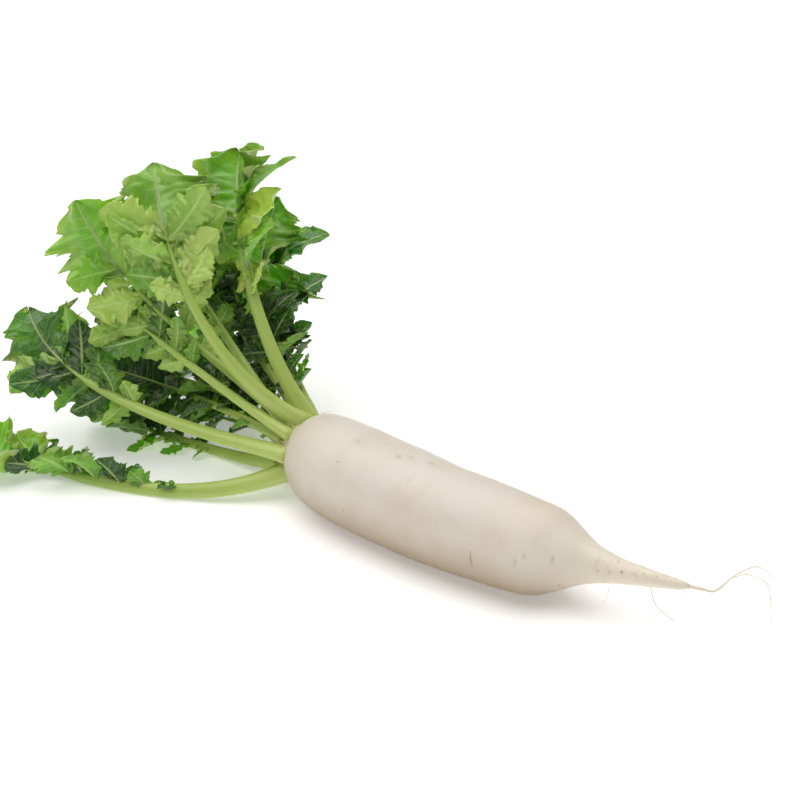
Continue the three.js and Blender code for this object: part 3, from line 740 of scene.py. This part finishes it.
class Leaf:
    def __init__(self, kind, seed, name):
        curve, face, self.pairs, self.leaflet, self.lobe, self.stalk, self.first = kind
        self.size, self.rise, self.broad = leafHabit.get(name, leafHabit["usual"])
        self.green = leafToneAndShade.get(name, 0.0)
        self.curve, self.face, self.seed = np.array(curve, float), np.array(face, float), seed

    def halfWidth(self, s):
        stout = mixed(1.0, blade["stalkTaper"], min(s / blade["lobeFrom"], 1.0) ** 1.2)
        slim = max(0.0, (s - blade["lobeFrom"] + 0.1) / (1.1 - blade["lobeFrom"])) ** 0.4
        return mixed(self.stalk / 2 * stout, blade["ribTip"], min(slim, 1.0)) * (1 + 0.12 * math.exp(-s * 14))

    def frame(self, s):  # where the curve is, the way it runs, its upper face and its side
        a, b, c, d = self.curve
        at = (1 - s) ** 3 * a + 3 * s * (1 - s) ** 2 * b + 3 * s * s * (1 - s) * c + s**3 * d
        along = unit((1 - s) ** 2 * (b - a) + 2 * s * (1 - s) * (c - b) + s * s * (d - c))
        at[2] = max(at[2], blade["flat"] * self.halfWidth(s) + blade["stalkClear"])
        face = mixed(self.face[0], self.face[1], s)
        face = unit(face - along * face.dot(along))
        return at, along, face, np.cross(along, face)


def saw(x):  # a forward-pointing tooth: rises slowly, drops fast
    x = x - np.floor(x)
    return np.where(x < 0.78, x / 0.78, (1 - x) / 0.22)


def bladeParts(middle, axes, half, lift, ahead, thick, values):
    # middle and axes have a row for each row of the blade; half, lift and ahead are rows by columns
    rows, columns = half.shape
    across, normal, run = (axis[:, None] for axis in axes)
    surface = middle[:, None] + across * half[..., None] + normal * lift[..., None] + run * ahead[..., None]
    surface[..., 2] = np.maximum(surface[..., 2], blade["bladeClear"])
    upper = surface + normal * thick[0][..., None]
    under = surface - normal * thick[1][..., None]
    count = rows * columns
    faces = []
    for j in range(rows - 1):
        for i in range(columns - 1):
            a = j * columns + i
            faces.append((a, a + 1, a + columns + 1, a + columns))
            faces.append((count + a + columns, count + a + columns + 1, count + a + 1, count + a))
        a, b = j * columns, (j + 1) * columns
        faces.append((a, b, b + count, a + count))
        a, b = a + columns - 1, b + columns - 1
        faces.append((b, a, a + count, b + count))
    for i in range(columns - 1):
        faces.append((i + 1, i, i + count, i + 1 + count))
        a = (rows - 1) * columns + i
        faces.append((a, a + 1, a + 1 + count, a + count))
    points = np.concatenate([upper.reshape(-1, 3), under.reshape(-1, 3)])
    carried = {key: np.concatenate([value.ravel(), value.ravel()]) for key, value in values.items()}
    carried["isUpper"] = np.concatenate([np.ones(count), np.zeros(count)])
    carried["isStalk"] = np.zeros(2 * count)
    return points, turnedOut(points, faces), carried


def widths(shape, scale, t):  # one to a row
    return (scale * np.array([alongList(shape, value) for value in t]))[:, None]


def bladeDetail(t, v, shape, scale, teeth, seed):
    # the toothed outline, the veins, the quilting between them and the waves of the edge
    big, small = teeth
    width = widths(shape, scale, t)
    t, v = np.meshgrid(t, v, indexing="ij")
    far = np.abs(v)
    hand = np.where(v < 0, 0.37, 0.0) + 0.3 * draw(seed, 61)
    free = np.sin(np.pi * np.clip(t, 0, 1) ** 0.8) ** 0.5
    tooth = blade["bigTooth"] * (saw(big * t + hand) - 0.55)
    tooth += blade["smallTooth"] * (saw(small * t + 2.3 * hand) - 0.5)
    half = width * (1 + tooth * free * far ** 1.6) * v
    ahead = blade["sweep"] * width * far ** 1.6 * (1 - 0.8 * t)
    phase = big * 2 * t - 1.5 * far ** 1.2 + hand
    quilt = -blade["quilt"] * np.cos(2 * np.pi * phase) * np.clip(1 - far ** 3, 0, 1) * np.clip(5 * far, 0, 1) * free
    wave = np.sin(2 * np.pi * (2.3 * t + 0.31 * draw(seed, 62)) + np.where(v < 0, 1.9, 0.0))
    wave += 0.7 * np.sin(2 * np.pi * (5.1 * t + 0.5 * draw(seed, 63)) + np.where(v < 0, 4.0, 0.0))
    wave += 0.4 * np.sin(2 * np.pi * (9.7 * t + 0.5 * draw(seed, 65)) + np.where(v < 0, 1.0, 0.0))
    ripple = blade["ripple"] * width * 0.5 * far ** 2 * wave
    fold = blade["fold"] * (0.4 + 0.6 * draw(seed, 64)) * width * far
    crumple = blade["crumple"] * scale * smoothNoise(t * 3.5 + 3 * seed, (v + 1) * 1.7 + seed, 31)
    crumple += 0.3 * blade["crumple"] * scale * smoothNoise(t * 9 + 7 * seed, (v + 1) * 4.3 + seed, 32)
    crumple = crumple * np.clip(3 * far, 0, 1)
    rib = np.exp(-(v / 0.07) ** 2) * (1 - 0.8 * t)
    lift = quilt + ripple + fold + crumple - 0.25 * rib
    thin = mixed(blade["thick"], blade["edge"], far ** 1.5) / 2
    under = thin + blade["ribHigh"] * rib * min(1.0, scale / 14)
    return half, lift, ahead, (thin, under), phase, far


def spread(columns):  # closer together near the midrib
    x = np.linspace(-1, 1, columns)
    return np.sign(x) * np.abs(x) ** 1.25


def leaflet(leaf, k, s, hand, size, rows, columns):
    at, along, face, side = leaf.frame(s)
    wild = lambda n: draw(leaf.seed, 10 * k + n)
    forward = math.radians(blade["forward"] + 10 * wild(1))
    lifted = math.radians(leaf.rise + blade["turning"] * wild(2))
    roll = math.radians(blade["roll"] + blade["turning"] * wild(5))
    out = side * hand * math.cos(lifted) + face * math.sin(lifted)
    run = unit(out * math.cos(forward) + along * math.sin(forward))
    across = unit(along - run * along.dot(run))
    normal = unit(np.cross(run, across)) * -hand
    if normal.dot(face) < 0:
        normal = -normal
    across, normal = turned(across, run, -hand * roll), turned(normal, run, -hand * roll)
    droop, cup = blade["droop"] + 0.36 * wild(3), blade["cup"] + 0.3 * wild(4)
    t, v = np.linspace(0, 1, rows), spread(columns)
    seed = leaf.seed * 31 + k
    width = blade["width"] * size * leaf.broad
    shape, teeth = blade["leafletShape"], blade["leafletTeeth"]
    half, lift, ahead, thick, phase, fromRib = bladeDetail(t, v, shape, width, teeth, seed)
    middle = at + np.outer(size * t, run) + np.outer(0.12 * size * t * t, along)
    middle = middle - np.outer(droop * size * t * t, normal)
    lift = lift + cup * widths(shape, width, t) * np.abs(v)[None] ** 2
    ones = np.ones_like(half)
    turn = (math.radians(blade["twist"]) * wild(6) * t)[:, None]
    axes = (across * np.cos(turn) + normal * np.sin(turn), normal * np.cos(turn) - across * np.sin(turn),
            np.tile(run, (len(t), 1)))
    # each leaflet's tint: a random tone plus its leaf's painted light and shade
    return bladeParts(middle, axes, half, lift, ahead, thick, {
        "reach": ones * s, "tintAndShade": ones * (leaf.green + 0.5 + 0.75 * wild(7)),
        "veinPhase": phase, "fromRib": fromRib})


def endLobe(leaf, rows, columns):
    t, v = np.linspace(0, 1, rows), spread(columns)
    frames = [leaf.frame(mixed(blade["lobeFrom"], 1.0, value)) for value in t]
    middle, along, face, side = (np.array([f[n] for f in frames]) for n in range(4))
    shape, teeth = blade["lobeShape"], blade["lobeTeeth"]
    half, lift, ahead, thick, phase, fromRib = bladeDetail(t, v, shape, leaf.lobe, teeth, leaf.seed * 31 + 29)
    full = widths(shape, leaf.lobe, t)
    turn = (0.5 * math.radians(blade["twist"]) * draw(leaf.seed, 6) * t)[:, None]
    side, face = side * np.cos(turn) + face * np.sin(turn), face * np.cos(turn) - side * np.sin(turn)
    wave = (blade["lobeWave"] * np.sin(7 * t + 3 * draw(leaf.seed, 5)))[:, None]
    lift = lift + blade["lobeCup"] * full * v**2 + wave * full * v * np.abs(v)
    ones = np.ones_like(half)
    # the end lobe's tint: a random tone plus its leaf's painted light and shade
    return bladeParts(middle, (side, face, along), half, lift, ahead, thick, {
        "reach": ones * 0.9, "tintAndShade": ones * (leaf.green + 0.5 + 0.5 * draw(leaf.seed, 8)),
        "veinPhase": phase, "fromRib": fromRib * blade["lobeRib"]})


def stalkValues(reach):
    zero = np.zeros(len(reach))
    return {"reach": reach, "tintAndShade": zero + 0.5, "veinPhase": zero + 0.5, "fromRib": zero + 1,
            "isUpper": zero, "isStalk": zero + 1}


def stalkParts(leaf, steps, sides):
    s = np.linspace(0.0, 0.96, steps)
    frames = [leaf.frame(value) for value in s]
    start, along = frames[0][0], frames[0][1]
    inside = [start - along * deep for deep in (12.0, 8.0, 4.0)]  # out of sight in the crown
    path = np.array(inside + [f[0] for f in frames])
    facing = np.array([frames[0][2]] * 3 + [f[2] for f in frames])
    girth = np.array([leaf.halfWidth(value) * (1 + 0.16 * math.exp(-value * 30)) for value in s])
    girth = girth * (1 - 0.35 * np.clip((s - 0.66) / 0.2, 0, 1))
    girth = np.concatenate([girth[:1] * np.array([0.75, 0.9, 1.0]), girth])
    shape = (sides, blade["flat"], 0.14, 0.014, 13.0)
    points, faces, reach = sweep(path, girth, facing, shape, leafMaterial, np.concatenate([[0, 0, 0], s]))
    return points, faces, stalkValues(reach)


def eased(points, low, high, slack=0.004):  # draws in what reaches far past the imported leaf's box
    low, high = np.array(low), np.array(high)
    over, short = np.maximum(points - high, 0), np.maximum(low - points, 0)
    low[2] = min(low[2], 0.0)
    moved = np.clip(points, low, high) + slack * (1 - np.exp(-over / slack)) - slack * (1 - np.exp(-short / slack))
    moved[:, 2] = np.maximum(moved[:, 2], 0.0004)
    return moved


fineMesh = {"leaflet": (46, 17), "lobe": (72, 27), "stalk": (64, 36)}  # rows and columns
plainMesh = {"leaflet": (26, 11), "lobe": (36, 15), "stalk": (30, 16)}


def leafParts(leaf, hedged, mesh):
    count = leaf.pairs * 2
    places = [mixed(leaf.first, blade["lobeFrom"] + 0.03, k / (count - 1)) for k in range(count)]
    blades = [endLobe(leaf, *mesh["lobe"])]
    for k in range(count):
        size = leaf.size * leaf.leaflet * mixed(0.42, 1, (k / (count - 1)) ** 0.7)
        size = size * (1 + 0.12 * draw(leaf.seed, 200 + k))
        hand = 1 if k % 2 else -1
        blades.append(leaflet(leaf, k, places[k], hand, size, *mesh["leaflet"]))
        if hedged and k < count - 2:  # a small leaflet between this one and the next on its side
            small = size * blade["smallSize"] * (1 + 0.3 * draw(leaf.seed, 300 + k))
            blades.append(leaflet(leaf, k + 20, places[k + 1], hand, small, *plainMesh["leaflet"]))
    blades = [(place(points), faces, values) for points, faces, values in blades]
    return [stalkParts(leaf, *mesh["stalk"])] + blades


def buildLeaf(name, seed):
    leaf = Leaf(leaves[name], seed, name)
    points, faces, values = joined(leafParts(leaf, name != "leaf_floor_near", fineMesh))
    points = eased(points, *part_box(name))
    return makeMesh(name.replace("leaf_", "leafOf_"), points, faces, leafMaterial, values)


youngLeaves = [  # small leaves in the heart of the crown, written like the others
    [[[-9, 6, 38], [-46, 17, 46], [-86, 25, 44], [-118, 30, 41]], [[0, -0.4, 0.9], [0.3, -0.5, 0.8]],
     3, 26, 18, 5, 0.28],
    [[[-9, 8, 40], [-42, 17, 51], [-80, 31, 53], [-103, 38, 72]], [[0, -0.6, 0.6], [0.5, -0.7, 0.4]],
     3, 26, 18, 5, 0.28],
    [[[-9, 2, 34], [-51, 14, 37], [-96, 15, 33], [-131, 16, 23]], [[0, -0.3, 1], [0.2, -0.4, 0.9]],
     3, 26, 18, 5, 0.3],
    [[[-9, 10, 40], [-42, 23, 45], [-73, 38, 59], [-89, 50, 80]], [[0, -0.8, 0.4], [0.5, -0.7, 0.3]],
     3, 24, 17, 5, 0.28],
    [[[-9, 9, 34], [-60, 31, 34], [-113, 53, 36], [-162, 60, 31]], [[0, -0.5, 0.9], [0.3, -0.5, 0.8]],
     3, 28, 20, 5, 0.3],
    [[[-9, 12, 30], [-59, 36, 28], [-114, 54, 21], [-160, 64, 8]], [[0, -0.5, 0.9], [0.2, -0.3, 0.9]],
     3, 28, 20, 5, 0.3],
    [[[-9, 8, 44], [-52, 26, 62], [-105, 37, 74], [-135, 46, 107]], [[0, -0.8, 0.5], [0.5, -0.6, 0.4]],
     4, 32, 24, 6, 0.25],
    [[[-9, 12, 44], [-36, 24, 67], [-71, 34, 82], [-94, 46, 100]], [[0, -0.8, 0.4], [0.4, -0.8, 0.3]],
     4, 30, 22, 6, 0.25],
    [[[-9, 6, 30], [-74, 20, 41], [-141, 22, 21], [-198, 26, 10]], [[0, -0.4, 0.9], [0.2, -0.4, 0.9]],
     4, 32, 24, 6, 0.25],
    [[[-9, 4, 34], [-74, 8, 55], [-144, 6, 36], [-203, 0, 41]], [[0, -0.5, 0.8], [0.3, -0.6, 0.7]],
     4, 32, 26, 6, 0.3],
    [[[-9, 6, 28], [-57, 27, 19], [-110, 23, 9], [-154, 26, 6]], [[0, -0.4, 0.9], [0.1, -0.3, 0.9]],
     3, 26, 20, 5, 0.25],
    [[[-9, 14, 40], [-33, 25, 53], [-64, 42, 64], [-61, 48, 91]], [[0, -0.8, 0.4], [0.3, -0.8, 0.4]],
     3, 28, 22, 6, 0.25],
]


leafPieces = {}
for number, name in enumerate(leaves):
    leafPieces[name] = buildLeaf(name, number + 1)
    print("leaf built", name, len(leafPieces[name].data.polygons))


curls = {  # torn strings on the stalks: leaf, share of its length, mm long, turns, which way they stand
    "places": [("leaf_top_near", 0.13, 15, 1.3, -0.9), ("leaf_top_near", 0.19, 12, 1.7, 0.8),
               ("leaf_side_near", 0.06, 14, 1.2, -1.0), ("leaf_side_near", 0.1, 9, 1.6, 0.7),
               ("leaf_top", 0.09, 12, 1.4, -0.6), ("leaf_floor_near", 0.05, 10, 1.5, 0.9),
               ("leaf_top_near", 0.3, 11, 1.8, -0.7), ("leaf_low_mid", 0.14, 12, 1.5, 0.8)],
    "thickness": 0.42, "width": 2.6,
}


def curlParts():
    parts = []
    u = np.linspace(0, 1, 44)
    for number, (name, s, length, turns, hand) in enumerate(curls["places"]):
        leaf = Leaf(leaves[name], number + 60, name)
        at, along, face, side = leaf.frame(s)
        away = unit(face * 0.6 + side * hand + along * 0.5)
        first = unit(np.cross(away, along))
        second = np.cross(away, first)
        turn = math.tau * turns * u
        wide = curls["width"] * u**0.7
        start = at + unit(face * 0.6 + side * hand) * leaf.halfWidth(s) * 0.8
        path = start + np.outer(length * 0.6 * u, away) + np.outer(wide * np.cos(turn) - wide[0], first)
        path = path + np.outer(wide * np.sin(turn), second) - np.outer(2.5 * u * u, (0, 0, 1))
        path[:, 2] = np.maximum(path[:, 2], 0.8)
        girth = curls["thickness"] * (1 - 0.75 * u)
        facing = np.tile(face, (44, 1))
        points, faces, reach = sweep(path, girth, facing, (7, 0.7, 0.0, 0.0, 1.0), leafMaterial, u)
        parts.append((points, faces, stalkValues(reach * 0.2)))
    return parts


young = curlParts()
for number, kind in enumerate(youngLeaves):
    young += leafParts(Leaf(kind, 40 + number, "young"), False, plainMesh)
points, faces, values = joined(young)
innerLeaves = makeMesh("innerLeaves", points, faces, leafMaterial, values)
print("inner leaves built", len(faces))


for piece, node, slot in [(rootBody, "root", "root"), (crownBody, "crown", "crown")] + [
        (piece, name, "leaf") for name, piece in leafPieces.items()]:
    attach(piece, "root")
    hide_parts(node)
for piece, slot in ((tailHairs, "root"), (crownFibres, "crown"), (innerLeaves, "leaf")):
    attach(piece, "root")
